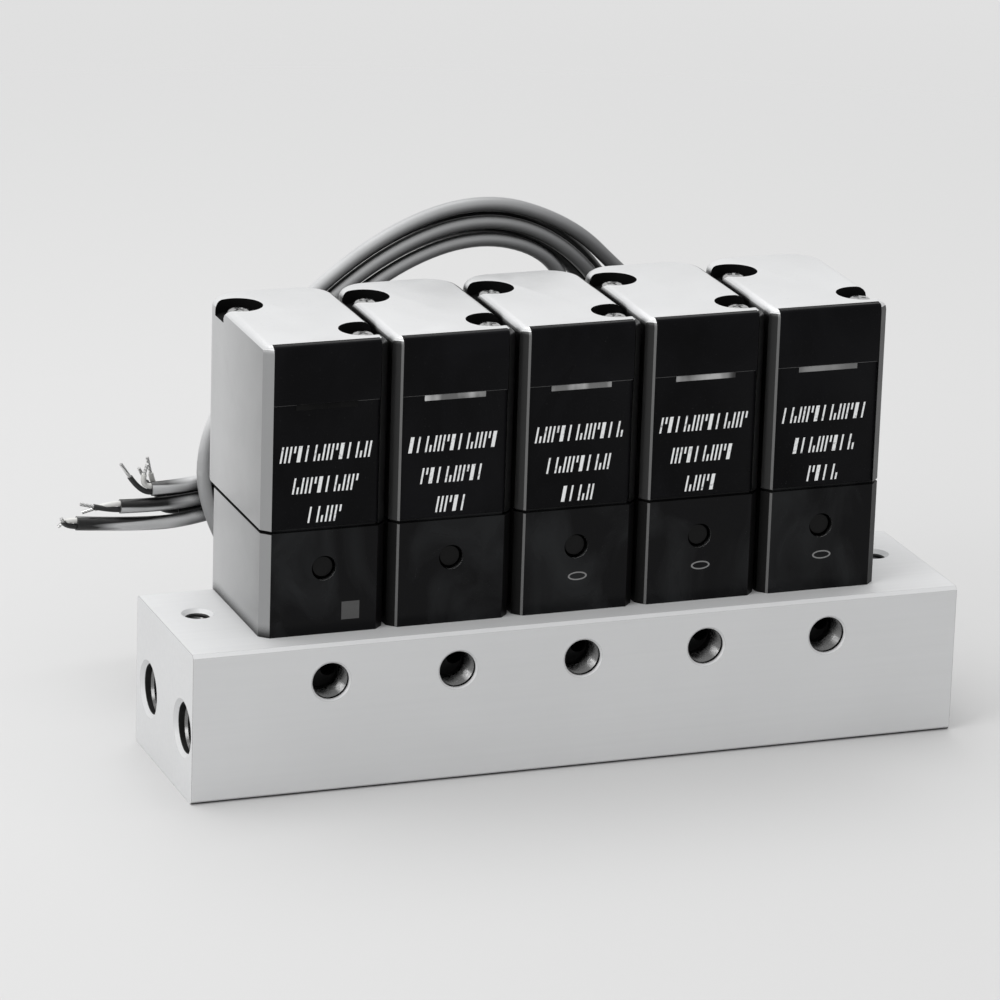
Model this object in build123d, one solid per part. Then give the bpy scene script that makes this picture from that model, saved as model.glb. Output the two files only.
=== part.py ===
from build123d import *
import math
import os

# Five-station pneumatic valve island: a drilled manifold bar carrying five direct-acting 3-port
# poppet solenoid valves side by side, with their lead wires gathered in one loose ring behind.
# Millimetres, +Z up, +X along the manifold, front ports facing -Y. The origin is on the resting
# surface, under the middle of the manifold and valves (the leads are not counted).

# ---- driving dimensions ----
station_count = 5
valve_width = 29.0
valve_gap = 1.0              # free strip between neighbouring valves
station_pitch = valve_width + valve_gap
valve_setback = 6.8          # strip of manifold top left free in front of the valves

manifold_end_margin = 17.7   # from the side of an end valve to the end of the manifold
manifold_depth = 43.2
manifold_height = 35.2
manifold_edge = 0.8

corner_chamfer = 2.05        # bevel of the valves' upright corners
body_height = 25.0
body_depth = 38.2
seam_height = 0.6            # shadow groove between cover and body
seam_depth = 0.8

cover_height = 42.5
cover_depth = 42.0
cover_wall = 1.7
cover_roof = 5.2
cover_edge = 0.7
cover_inner_round = 1.5

plate_step_drop = 13.8       # from the top of the front plate to its step
plate_step = 0.4
plate_bevel = 0.45
plate_gap = 0.25             # front plate's clearance at top and bottom
window_width = 15.5
window_height = 1.2
window_drop = 16.2           # from the top of the cover to the middle of the indicator bar
window_proud = 0.35

screw_r = 1.5
screw_hole_r = 1.7
screw_head_r = 2.8
screw_head_height = 2.0
screw_head_round = 1.2
screw_thread_depth = 7.5
screw_hole_spare = 1.0       # the tapped hole runs on this far below the screw
screw_front_x = 11.0         # front screw, right of the valve's middle
screw_front_y = 9.4          # behind the valve's front
screw_back_x = -10.0
screw_back_y = 34.2
pocket_r = 5.5
pocket_depth = 3.0
boss_r = 3.5
thread_clearance = 0.04

front_port_r = 4.3           # Rc 1/8 working port, tapping bore
front_port_depth = 9.5
front_port_z = 26.2
front_port_mouth = 0.4
end_port_r = 5.75            # Rc 1/4 supply and exhaust ports, tapping bore
end_port_depth = 12.0
end_port_z = 15.6
end_port_mouth = 1.0
supply_port_y = 7.6          # behind the manifold's front
exhaust_port_y = 33.9
gallery_r = 4.5
passage_r = 1.9
cross_passage_r = 1.6        # cored runs inside the valve body

fixing_hole_r = 2.5          # M6 tapping bore
fixing_hole_depth = 10.0
fixing_hole_mouth = 1.2
fixing_hole_x = 9.3          # from the end of the manifold
fixing_hole_y = 27.2

gasket_thickness = 1.0
gasket_margin = 1.2          # of rubber round its holes
gasket_hole_r = 2.3
gasket_round = 3.0
supply_hole_x = -8.0         # the valve's own port holes, from its middle
supply_hole_y = 11.2         # behind the manifold's front
work_hole_x = 2.3
work_hole_y = 21.8

valve_axis_y = 20.0          # plunger axis behind the valve's front
poppet_travel = 0.8
seat_height = 8.0            # above the valve body's foot
seat_r = 2.2
seat_bore_depth = 5.0
supply_run_height = 4.7      # above the valve body's foot
work_hole_rise = 1.5         # above the seat
poppet_r = 4.0
poppet_height = 3.0
chamber_clearance = 0.6
stroke_clearance = 0.2
stem_r = 1.5
stem_bore_r = 2.4
collar_r = 3.4
collar_height = 1.5
collar_room = 2.0            # bore below the collar
exhaust_run_rise = 1.6       # middle of the exhaust run above the foot of the upper bore
upper_bore_r = 3.9

button_height = 15.5         # above the valve body's foot
button_r = 2.77
button_clearance = 0.08
button_recess = 1.1
button_travel = 1.6
button_tip_r = 1.4
button_edge = 0.5
nose_clearance = 0.25        # between the pressed nose and the stem
wedge_clearance = 0.05

plunger_r = 4.5
plunger_bore_clearance = 0.1
plunger_length = 26.0
stem_rise = 1.55             # stem between its collar and the plunger
plunger_foot_room = 0.3
plunger_edge = 0.4
spring_r = 2.0
spring_wall = 0.5
spring_pocket_depth = 7.0
spring_pocket_clearance = 0.25

yoke_thickness = 1.5
yoke_depth = 13.0
coil_r = 10.6
coil_length = 30.0
coil_flange = 1.3
coil_winding_r = 9.7
coil_side_gap = 0.3

grommet_height = 8.0         # above the foot of the cover
grommet_r = 3.0
grommet_tip_r = 2.4
grommet_flange_r = 4.2
grommet_length = 6.0
grommet_flange = 1.0
grommet_seat = 1.2           # how far the grommet's neck reaches into the cover wall
lead_grip = 3.0              # length of lead held in the grommet

lead_r = 1.7
lead_ring_x = -9.7           # middle of the gathered ring of leads
lead_ring_z = 57.0
lead_ring_half_width = 60.5  # outer edge of the ring
lead_ring_half_height = 56.7
lead_ring_band = 12.6
lead_ring_front = 53.6
lead_ring_depth = 8.0
lead_ring_round = 2.5
lead_ring_first = -5         # degrees from +X where the gathered part starts and ends
lead_ring_last = 285
lead_arc_share = 0.45        # of the shorter run, taken by each bend
ring_step = 30
core_r = 0.65
core_spread = 0.75
core_bend_r = 1.6
core_straight = 2.5

# Each lead's strand in the ring: inset from the ring's outer edge, and y.
lead_strands = {1: (4.15, 59.6), 2: (8.45, 59.6), 3: (6.3, 55.6), 4: (10.6, 55.6), 5: (2.0, 55.6)}
middle_inset = 6.3

# Routes from the grommets to the ring, then the first ring angle in degrees.
lead_starts = {
    1: [(-60.0, 40.4, 68.2), (-54.0, 53.5, 66.9), (-43.5, 59.6, 62.5), (-25.0, 59.6, 49.8), (-5.0, 59.6, 38.0),
        (11.5, 59.6, 30.5), (28.0, 59.6, 28.8), (42.0, 59.6, 36.5), (48.8, 59.6, 51.0), (46.8, 59.6, 66.5)],
    2: [(-30.0, 40.4, 68.2), (-24.0, 53.5, 67.2), (-13.0, 59.6, 63.0), (0.5, 59.6, 51.5), (12.5, 59.6, 40.0),
        (26.5, 59.6, 33.8), (39.5, 59.6, 40.5), (44.6, 59.6, 54.0), (42.2, 59.6, 68.5)],
    3: [(0.0, 38.4, 68.2), (2.0, 50.4, 63.2), (5.2, 55.6, 54.4), (11.5, 55.6, 43.2), (22.5, 55.6, 35.5),
        (35.8, 55.6, 37.5), (45.0, 55.6, 48.0), (45.4, 55.6, 63.0)],
    4: [(30.0, 38.4, 68.2), (28.4, 50.4, 73.4), (25.6, 55.6, 82.4)],
    5: [(60.0, 38.4, 68.2), (56.7, 50.4, 72.6), (51.0, 55.6, 80.2), (37.5, 55.6, 92.5)],
}
lead_first_angle = {1: 30, 2: 30, 3: 30, 4: 60, 5: 60}
ring_end_angle = 270

# The bundle's way out of the ring: x, z, direction of its outer side in degrees, and how far it
# has moved back from the ring.
lead_exit = [
    (17.4, 13.4, -62, 4.3),
    (29.5, 24.2, -28, 8.6),
    (33.8, 38.8, 5, 8.6),
    (29.3, 53.0, 40, 8.6),
    (16.5, 61.6, 73, 8.6),
    (-0.5, 62.4, 97, 8.6),
    (-23.5, 55.4, 109, 8.6),
    (-46.0, 46.4, 104, 8.6),
]
# Where each cut lead ends, as x and z of its last points.
lead_ends = {
    1: [(-62.0, 43.0), (-71.0, 42.2)],
    2: [(-60.0, 39.0), (-68.0, 38.4)],
    3: [(-66.0, 40.3), (-83.2, 41.2)],
    4: [(-66.0, 36.2), (-82.0, 35.2), (-93.8, 36.0)],
    5: [(-62.0, 45.2), (-75.6, 45.4)],
}
# The tips of each lead's two stripped cores.
core_tips = {
    1: [(-78.0, 66.5, 49.5), (-75.5, 68.0, 51.5)],
    2: [(-74.4, 68.5, 40.2), (-75.2, 70.8, 44.4)],
    3: [(-92.9, 64.0, 42.6), (-92.0, 65.5, 40.0)],
    4: [(-97.6, 63.6, 37.4), (-98.0, 64.8, 35.2)],
    5: [(-83.3, 63.4, 51.9), (-77.0, 63.0, 51.5)],
}

# ---- derived places ----
stations = range(1, station_count + 1)
manifold_length = 2 * manifold_end_margin + (station_count - 1) * station_pitch + valve_width
overall_depth = valve_setback + cover_depth
manifold_front = -overall_depth / 2
manifold_middle_y = manifold_front + manifold_depth / 2
valve_front = manifold_front + valve_setback
axis_y = valve_front + valve_axis_y
body_foot = manifold_height
cover_foot = body_foot + body_height
cover_top = cover_foot + cover_height
collar_z = body_foot + button_height + button_tip_r + wedge_clearance
chamber_top = body_foot + seat_height + poppet_height + poppet_travel + stroke_clearance
plunger_foot = collar_z + collar_height + stem_rise
plunger_top = plunger_foot + plunger_length
coil_foot = cover_foot + yoke_thickness
coil_top = coil_foot + coil_length
fixed_core_foot = plunger_top + poppet_travel + stroke_clearance
cover_rear = valve_front + cover_depth
grommet_z = cover_foot + grommet_height
grommet_tip_y = cover_rear + grommet_length
screw_places = [(screw_front_x, valve_front + screw_front_y), (screw_back_x, valve_front + screw_back_y)]
supply_hole = (supply_hole_x, manifold_front + supply_hole_y)
work_hole = (work_hole_x, manifold_front + work_hole_y)
exhaust_hole = (0.0, manifold_front + exhaust_port_y)
port_holes = [supply_hole, work_hole, exhaust_hole]


def station_x(station):
    return (station - (station_count + 1) / 2) * station_pitch


# ---- shared shapes ----
def bore(start, end, radius):
    """A round bar from one point to another, for drilling."""
    path = Edge.make_line(start, end)
    return sweep(Plane(origin=start, z_dir=Vector(*end) - Vector(*start)) * Circle(radius), path=path)


def countersink(mouth, direction, radius, depth):
    """A 45 degree cone that opens a hole's mouth out by its own depth."""
    place = Plane(origin=mouth, z_dir=direction)
    return place * Pos(0, 0, -depth / 2) * Cone(radius, radius + depth, depth)


def valve_outline(depth, chamfer_rear):
    """Plan of a valve housing with bevelled upright corners, its front on valve_front."""
    half = valve_width / 2
    rear = valve_front + depth
    points = [
        (-half + corner_chamfer, valve_front),
        (half - corner_chamfer, valve_front),
        (half, valve_front + corner_chamfer),
        (half, rear - chamfer_rear),
        (half - chamfer_rear, rear),
        (-half + chamfer_rear, rear),
        (-half, rear - chamfer_rear),
        (-half, valve_front + corner_chamfer),
    ]
    return make_face(Polyline(*points, close=True))


# ---- manifold ----
def make_manifold():
    half = manifold_length / 2
    bar = Pos(0, manifold_middle_y, manifold_height / 2) * Box(manifold_length, manifold_depth, manifold_height)
    bar = chamfer(bar.edges().filter_by(Axis.X), manifold_edge)
    cuts = []
    for y in (manifold_front + supply_port_y, manifold_front + exhaust_port_y):
        cuts.append(bore((-half, y, end_port_z), (half, y, end_port_z), gallery_r))
        for side in (-1, 1):
            mouth = (side * half, y, end_port_z)
            floor = (side * (half - end_port_depth), y, end_port_z)
            cuts.append(bore(floor, mouth, end_port_r))
            cuts.append(countersink(mouth, (side, 0, 0), end_port_r, end_port_mouth))
    for side in (-1, 1):
        x = side * (half - fixing_hole_x)
        mouth = (x, manifold_front + fixing_hole_y, manifold_height)
        floor = (x, manifold_front + fixing_hole_y, manifold_height - fixing_hole_depth)
        cuts.append(bore(floor, mouth, fixing_hole_r))
        cuts.append(countersink(mouth, (0, 0, 1), fixing_hole_r, fixing_hole_mouth))
    for station in stations:
        x = station_x(station)
        mouth = (x, manifold_front, front_port_z)
        cuts.append(bore((x, manifold_front + front_port_depth, front_port_z), mouth, front_port_r))
        cuts.append(countersink(mouth, (0, -1, 0), front_port_r, front_port_mouth))
        work_x, work_y = x + work_hole_x, work_hole[1]
        port_floor = manifold_front + front_port_depth
        cuts.append(bore((work_x, port_floor, front_port_z), (work_x, work_y, front_port_z), passage_r))
        depths = [end_port_z, front_port_z - passage_r, end_port_z]
        for (hole_x, hole_y), hole_z in zip(port_holes, depths):
            cuts.append(bore((x + hole_x, hole_y, hole_z), (x + hole_x, hole_y, manifold_height), passage_r))
        floor_z = manifold_height - screw_thread_depth - screw_hole_spare
        for screw_x, screw_y in screw_places:
            floor = (x + screw_x, screw_y, floor_z)
            cuts.append(bore(floor, (x + screw_x, screw_y, manifold_height), screw_r + thread_clearance))
    return bar - cuts


# ---- valve body: the poppet's seats and passages ----
def gasket_face():
    """The gasket's outline: its three holes with a margin of rubber round them."""
    edge = gasket_hole_r + gasket_margin
    xs = [x for x, y in port_holes]
    ys = [y for x, y in port_holes]
    width = max(xs) - min(xs) + 2 * edge
    length = max(ys) - min(ys) + 2 * edge
    middle = Pos((max(xs) + min(xs)) / 2, (max(ys) + min(ys)) / 2)
    return middle * RectangleRounded(width, length, gasket_round)


def make_body():
    outline = valve_outline(body_depth, corner_chamfer)
    block = Pos(0, 0, body_foot) * extrude(outline, body_height)
    seam = Pos(0, 0, cover_foot - seam_height)
    core = offset(outline, -seam_depth, kind=Kind.INTERSECTION)
    block -= seam * (extrude(outline, seam_height) - extrude(core, seam_height))
    block -= Pos(0, 0, body_foot) * extrude(gasket_face(), gasket_thickness)
    foot = body_foot
    seat_z = foot + seat_height
    upper_foot = collar_z - collar_room
    upper_top = plunger_foot - plunger_foot_room
    supply_z = foot + supply_run_height
    exhaust_z = upper_foot + exhaust_run_rise
    button_z = foot + button_height
    cuts = [
        bore((0, axis_y, seat_z - seat_bore_depth), (0, axis_y, seat_z), seat_r),
        bore((0, axis_y, seat_z), (0, axis_y, chamber_top), poppet_r + chamber_clearance),
        bore((0, axis_y, chamber_top), (0, axis_y, upper_foot), stem_bore_r),
        bore((0, axis_y, upper_foot), (0, axis_y, upper_top), upper_bore_r),
        bore((0, axis_y, upper_top), (0, axis_y, cover_foot), plunger_r + plunger_bore_clearance),
        bore((*supply_hole, foot), (*supply_hole, supply_z), passage_r),
        bore((*supply_hole, supply_z), (0, axis_y, supply_z), cross_passage_r),
        bore((*work_hole, foot), (*work_hole, seat_z + work_hole_rise), passage_r),
        bore((*exhaust_hole, foot), (*exhaust_hole, exhaust_z), passage_r),
        bore((*exhaust_hole, exhaust_z), (0, axis_y, exhaust_z), cross_passage_r),
        bore((0, valve_front, button_z), (0, axis_y, button_z), button_r + button_clearance),
    ]
    for x, y in screw_places:
        cuts.append(bore((x, y, foot), (x, y, cover_foot), screw_hole_r))
    return block - cuts


def make_gasket():
    plate = Pos(0, 0, body_foot) * extrude(gasket_face(), gasket_thickness)
    top = body_foot + gasket_thickness
    return plate - [bore((x, y, body_foot), (x, y, top), gasket_hole_r) for x, y in port_holes]


# ---- cover: a moulded shell with two screw columns and the recessed screw pockets ----
def make_cover():
    outline = valve_outline(cover_depth, corner_chamfer)
    block = Pos(0, 0, cover_foot) * extrude(outline, cover_height)
    top_rim = block.faces().sort_by(Axis.Z)[-1].edges()
    block = chamfer(top_rim.sort_by(Axis.Y)[1:], cover_edge)
    plate_room = Pos(0, valve_front, cover_foot + cover_height / 2)
    block -= plate_room * Box(valve_width, 2 * corner_chamfer, cover_height)
    inner_front = valve_front + corner_chamfer + cover_wall
    inner_depth = cover_depth - corner_chamfer - 2 * cover_wall
    inner_width = valve_width - 2 * cover_wall
    cavity = Pos(0, inner_front + inner_depth / 2)
    cavity *= RectangleRounded(inner_width, inner_depth, cover_inner_round)
    hollow = Pos(0, 0, cover_foot) * extrude(cavity, cover_height - cover_roof)
    for x, y in screw_places:
        hollow -= bore((x, y, cover_foot), (x, y, cover_top), boss_r)
    cuts = [hollow]
    for x, y in screw_places:
        cuts.append(bore((x, y, cover_foot), (x, y, cover_top), screw_hole_r))
        cuts.append(bore((x, y, cover_top - pocket_depth), (x, y, cover_top), pocket_r))
    cuts.append(bore((0, cover_rear - 2 * cover_wall, grommet_z), (0, cover_rear, grommet_z), grommet_r))
    return block - cuts


def make_front_plate():
    height = cover_height - 2 * plate_gap
    foot = cover_foot + plate_gap
    outline = valve_outline(cover_depth, corner_chamfer)
    slab = Pos(0, 0, foot) * extrude(outline, height)
    keep = Pos(0, valve_front, cover_foot + cover_height / 2)
    slab = slab & keep * Box(valve_width, 2 * corner_chamfer, cover_height)
    top_edge = slab.edges().filter_by(Axis.X).group_by(Axis.Z)[-1].sort_by(Axis.Y)[0]
    slab = chamfer(top_edge, plate_bevel)
    field_top = cover_top - plate_step_drop
    field_height = field_top - foot
    field = Pos(0, valve_front, field_top - field_height / 2) * Box(valve_width, 2 * plate_step, field_height)
    window = Pos(0, valve_front + plate_step - window_proud / 2, cover_top - window_drop)
    return slab - field + window * Box(window_width, window_proud, window_height)


# ---- solenoid: coil, yoke with its fixed core, plunger and return spring ----
def make_coil():
    bore_r = plunger_r + plunger_bore_clearance
    profile = Polyline(
        (bore_r, coil_foot),
        (coil_r, coil_foot),
        (coil_r, coil_foot + coil_flange),
        (coil_winding_r, coil_foot + coil_flange),
        (coil_winding_r, coil_top - coil_flange),
        (coil_r, coil_top - coil_flange),
        (coil_r, coil_top),
        (bore_r, coil_top),
        close=True,
    )
    return Pos(0, axis_y) * revolve(make_face(Plane.XZ * profile), Axis.Z)


def make_yoke():
    half = coil_r + coil_side_gap + yoke_thickness
    height = coil_length + 2 * yoke_thickness
    middle = Pos(0, axis_y, cover_foot + height / 2)
    frame = middle * (
        Box(2 * half, yoke_depth, height) - Box(2 * (half - yoke_thickness), yoke_depth, coil_length)
    )
    frame -= bore((0, axis_y, cover_foot), (0, axis_y, coil_foot), plunger_r + plunger_bore_clearance)
    core_top = coil_top + yoke_thickness
    return frame + bore((0, axis_y, fixed_core_foot), (0, axis_y, core_top), plunger_r)


def make_plunger():
    bar = bore((0, axis_y, plunger_foot), (0, axis_y, plunger_top), plunger_r)
    bar = chamfer(bar.edges().filter_by(GeomType.CIRCLE), plunger_edge)
    pocket_r = spring_r + spring_pocket_clearance
    floor = plunger_top - spring_pocket_depth
    return bar - bore((0, axis_y, floor), (0, axis_y, plunger_top), pocket_r)


def make_return_spring():
    floor = (0, axis_y, plunger_top - spring_pocket_depth)
    top = (0, axis_y, fixed_core_foot)
    return bore(floor, top, spring_r) - bore(floor, top, spring_r - spring_wall)


def make_poppet():
    foot = body_foot + seat_height
    head_top = foot + poppet_height
    profile = Polyline(
        (0, foot),
        (poppet_r, foot),
        (poppet_r, head_top),
        (stem_r, head_top),
        (stem_r, collar_z),
        (collar_r, collar_z),
        (collar_r, collar_z + collar_height),
        (stem_r, collar_z + collar_height),
        (stem_r, plunger_foot),
        (0, plunger_foot),
        close=True,
    )
    return Pos(0, axis_y) * revolve(make_face(Plane.XZ * profile), Axis.Z)


def make_button():
    """Override button: a rod whose conical nose slides under the poppet stem's collar."""
    slope = poppet_travel / button_travel
    tip = axis_y - stem_r - nose_clearance - button_travel
    shoulder = tip - (button_r - button_tip_r) / slope
    front = valve_front + button_recess
    profile = Polyline(
        (0, front),
        (button_r - button_edge, front),
        (button_r, front + button_edge),
        (button_r, shoulder),
        (button_tip_r, tip),
        (0, tip),
        close=True,
    )
    rod = revolve(make_face(profile), Axis.Y)
    return Pos(0, 0, body_foot + button_height) * rod


# ---- fasteners ----
def make_screws():
    screws = []
    shoulder = cover_top - pocket_depth
    foot = manifold_height - screw_thread_depth
    for station in stations:
        for x, y in screw_places:
            centre = station_x(station) + x
            shank = bore((centre, y, foot), (centre, y, shoulder), screw_r)
            head = bore((centre, y, shoulder), (centre, y, shoulder + screw_head_height), screw_head_r)
            head = fillet(head.edges().filter_by(GeomType.CIRCLE).sort_by(Axis.Z)[-1], screw_head_round)
            screws.append(shank + head)
    return screws


# ---- leads ----
def ring_point(angle, inset, y):
    """A strand's point in the ring: angle in degrees from +X, inset from the ring's outer edge."""
    turn = math.radians(angle)
    return (
        lead_ring_x + (lead_ring_half_width - inset) * math.cos(turn),
        y,
        lead_ring_z + (lead_ring_half_height - inset) * math.sin(turn),
    )


def lead_route(lead):
    """The whole route as three lists of points: grommet to ring, round the ring, and out to the cut end."""
    inset, y = lead_strands[lead]
    outward = middle_inset - inset
    start = [(station_x(lead), grommet_tip_y - lead_grip, grommet_z)] + lead_starts[lead]
    round_ring = [ring_point(a, inset, y) for a in range(lead_first_angle[lead], ring_end_angle + 1, ring_step)]
    tail = []
    for x, z, side, back in lead_exit:
        turn = math.radians(side)
        tail.append((x + outward * math.cos(turn), y + back, z + outward * math.sin(turn)))
    tail += [(x, y + lead_exit[-1][3], z) for x, z in lead_ends[lead]]
    return start, round_ring, tail


def bend_radii(points):
    """The largest radius that each corner's two runs allow."""
    radii = []
    for before, corner, after in zip(points, points[1:], points[2:]):
        run_in = Vector(*corner) - Vector(*before)
        run_out = Vector(*after) - Vector(*corner)
        half_turn = math.radians(run_in.get_angle(run_out)) / 2
        radii.append(lead_arc_share * min(run_in.length, run_out.length) / math.tan(half_turn))
    return radii


def tube(points, radius, radii):
    """A round tube of straight runs joined by tangent arcs, and its length."""
    path = FilletPolyline(*points, radius=radii)
    section = Plane(origin=path @ 0, z_dir=path % 0) * Circle(radius)
    return sweep(section, path=path), path.length


def make_lead(lead):
    start, round_ring, tail = lead_route(lead)
    way_in = start + round_ring[:2]
    way_out = round_ring[-1:] + tail
    whole = start + round_ring + tail
    solids = []
    for points in (way_in, way_out):
        solid, length = tube(points, lead_r, bend_radii(points))
        share = solid.volume / (math.pi * lead_r**2 * length)
        print(f"lead {lead}: tube of {length:.1f} mm, volume {share:.4f} of section times length")
        solids.append(solid)
    radii = bend_radii(whole)
    print(f"lead {lead}: whole length {FilletPolyline(*whole, radius=radii).length:.1f} mm, radii",
          " ".join(f"{r:.0f}" for r in radii))
    return Compound(children=solids)


def make_cores():
    cores = []
    for lead, tips in core_tips.items():
        tail = lead_route(lead)[2]
        before, end = Vector(*tail[-2]), Vector(*tail[-1])
        along = (end - before).normalized()
        across = along.cross(Vector(0, 1, 0))
        for side, tip in zip((1, -1), tips):
            root = end + across * side * core_spread
            knee = root + along * core_straight
            cores.append(tube([tuple(root), tuple(knee), tip], core_r, [core_bend_r])[0])
    return cores


def make_ring():
    place = Plane(origin=(lead_ring_x, lead_ring_front, lead_ring_z), x_dir=(1, 0, 0), z_dir=(0, -1, 0))
    outer = Ellipse(lead_ring_half_width, lead_ring_half_height)
    inner = Ellipse(lead_ring_half_width - lead_ring_band, lead_ring_half_height - lead_ring_band)
    reach = 2 * lead_ring_half_width
    first, last = math.radians(lead_ring_first), math.radians(lead_ring_last)
    middle = (first + last) / 2 + math.pi
    open_sector = make_face(Polyline(
        (0, 0),
        (reach * math.cos(last), reach * math.sin(last)),
        (reach * math.cos(middle), reach * math.sin(middle)),
        (reach * math.cos(first), reach * math.sin(first)),
        close=True,
    ))
    ring = extrude(place * (outer - inner - open_sector), -lead_ring_depth)
    rims = ring.edges().filter_by(lambda e: e.geom_type == GeomType.ELLIPSE)
    return fillet(rims, lead_ring_round)


def make_grommet():
    rear = cover_rear
    profile = Polyline(
        (lead_r, rear - grommet_seat),
        (grommet_r, rear - grommet_seat),
        (grommet_r, rear),
        (grommet_flange_r, rear),
        (grommet_flange_r, rear + grommet_flange),
        (grommet_r, rear + grommet_flange),
        (grommet_tip_r, grommet_tip_y),
        (lead_r, grommet_tip_y),
        close=True,
    )
    return Pos(0, 0, grommet_z) * revolve(make_face(profile), Axis.Y)


def save(shape, name):
    export_step(shape, f"parts/{name}.step")


def build():
    os.makedirs("parts", exist_ok=True)
    save(make_manifold(), "manifold")
    per_station = {
        "valve_body": make_body(),
        "solenoid_cover": make_cover(),
        "front_plate": make_front_plate(),
        "coil": make_coil(),
        "yoke": make_yoke(),
        "plunger": make_plunger(),
        "poppet": make_poppet(),
        "return_spring": make_return_spring(),
        "override_button": make_button(),
        "grommet": make_grommet(),
    }
    for station in stations:
        for name, shape in per_station.items():
            save(Pos(station_x(station), 0, 0) * shape, f"{name}_{station}")
    gasket = make_gasket()
    save(Compound(children=[Pos(station_x(s), 0, 0) * gasket for s in stations]), "gaskets")
    save(Compound(children=make_screws()), "valve_screws")
    for lead in lead_starts:
        save(make_lead(lead), f"lead_{lead}")
    save(make_ring(), "lead_ring")
    save(Compound(children=make_cores()), "lead_cores")


build()
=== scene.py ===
"""Looks of a five-station pneumatic valve island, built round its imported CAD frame. Metres, +Z up."""
import math

import bmesh
import bpy
from mathutils import Matrix, Vector


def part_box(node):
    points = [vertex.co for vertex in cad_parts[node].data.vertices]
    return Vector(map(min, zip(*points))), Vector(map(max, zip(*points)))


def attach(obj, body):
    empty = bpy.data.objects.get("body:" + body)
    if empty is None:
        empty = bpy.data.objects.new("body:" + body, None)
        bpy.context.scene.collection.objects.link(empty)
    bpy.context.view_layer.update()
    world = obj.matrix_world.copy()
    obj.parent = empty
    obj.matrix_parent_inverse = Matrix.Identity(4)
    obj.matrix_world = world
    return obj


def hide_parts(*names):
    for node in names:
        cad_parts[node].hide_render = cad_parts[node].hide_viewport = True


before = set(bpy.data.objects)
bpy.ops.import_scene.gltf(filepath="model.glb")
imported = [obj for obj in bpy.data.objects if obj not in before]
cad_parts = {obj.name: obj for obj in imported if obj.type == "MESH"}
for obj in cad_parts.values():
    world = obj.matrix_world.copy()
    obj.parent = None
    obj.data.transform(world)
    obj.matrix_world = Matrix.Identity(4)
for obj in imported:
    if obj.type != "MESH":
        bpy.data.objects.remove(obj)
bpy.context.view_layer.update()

MM = 0.001
stations = range(1, 6)


def station_box(part, station):
    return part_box(f"{part}_{station}")


def station_x(station):
    low, high = station_box("valve_body", station)
    return (low[0] + high[0]) / 2


bar_low, bar_high = (Vector(corner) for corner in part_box("manifold"))
body_low, body_high = (Vector(corner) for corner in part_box("valve_body_1"))
cover_low, cover_high = (Vector(corner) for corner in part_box("solenoid_cover_1"))
valve_front = body_low.y
valve_half = (body_high.x - body_low.x) / 2
station_pitch = station_x(2) - station_x(1)
corner_chamfer = 2.05 * MM
seam_height = 0.6 * MM
pocket_radius = 5.5 * MM
pocket_depth = 3.0 * MM
# Front and rear screw of a valve: x from its middle, and y.
screw_places = [(11.0 * MM, valve_front + 9.4 * MM), (-10.0 * MM, valve_front + 34.2 * MM)]

# Covers, with the depth and rear corners read from the photograph.
cover_depth = 46.5 * MM
cover_corner = 8.0 * MM
cover_rim = 1.95 * MM
cover_wall = 1.7 * MM
cover_roof = 5.2 * MM
boss_radius = 3.5 * MM
screw_hole_radius = 1.7 * MM
grommet_hole_gap = 0.1 * MM
round_sides = 32
pocket_sides = 48

# Front panels and their indicator windows (width, thickness, height).
panel_gap = 0.05 * MM
panel_foot_gap = 0.12 * MM
panel_bevel = 0.45 * MM
panel_step = 0.4 * MM
panel_step_drop = 13.6 * MM
panel_edge = 0.14 * MM
window_size = (14.4 * MM, 0.25 * MM, 1.35 * MM)
window_edge = 0.08 * MM


# ---- camera: low, far off, from the front and left ----
camera_place = (-0.43646, -1.13183, 0.44779)
camera_yaw = 20.55        # degrees from +Y towards +X
camera_pitch = 17.91      # degrees down
camera_roll = 0.032       # radians
camera_lens = 200.9
camera_sensor = 36


def make_camera():
    yaw, pitch, roll = math.radians(camera_yaw), math.radians(camera_pitch), camera_roll
    right = Vector((math.cos(yaw), -math.sin(yaw), 0))
    ahead = Vector((math.sin(yaw) * math.cos(pitch), math.cos(yaw) * math.cos(pitch), -math.sin(pitch)))
    up = right.cross(ahead)
    across = math.cos(roll) * right + math.sin(roll) * up
    upward = math.cos(roll) * up - math.sin(roll) * right
    data = bpy.data.cameras.new("camera")
    data.sensor_width = camera_sensor
    data.lens = camera_lens
    data.clip_start = 0.05
    data.clip_end = 20
    camera = bpy.data.objects.new("camera", data)
    bpy.context.scene.collection.objects.link(camera)
    turn = Matrix((across, upward, -ahead)).transposed()
    camera.matrix_world = Matrix.Translation(camera_place) @ turn.to_4x4()
    bpy.context.scene.camera = camera


make_camera()


# ---- small helpers ----
def link(name, data):
    piece = bpy.data.objects.new(name, data)
    bpy.context.scene.collection.objects.link(piece)
    return piece


def root_piece(name, data, material):
    """A piece that stays with the manifold and valves."""
    piece = link(name, data)
    piece.data.materials.append(material)
    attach(piece, "root")
    return piece


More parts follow.
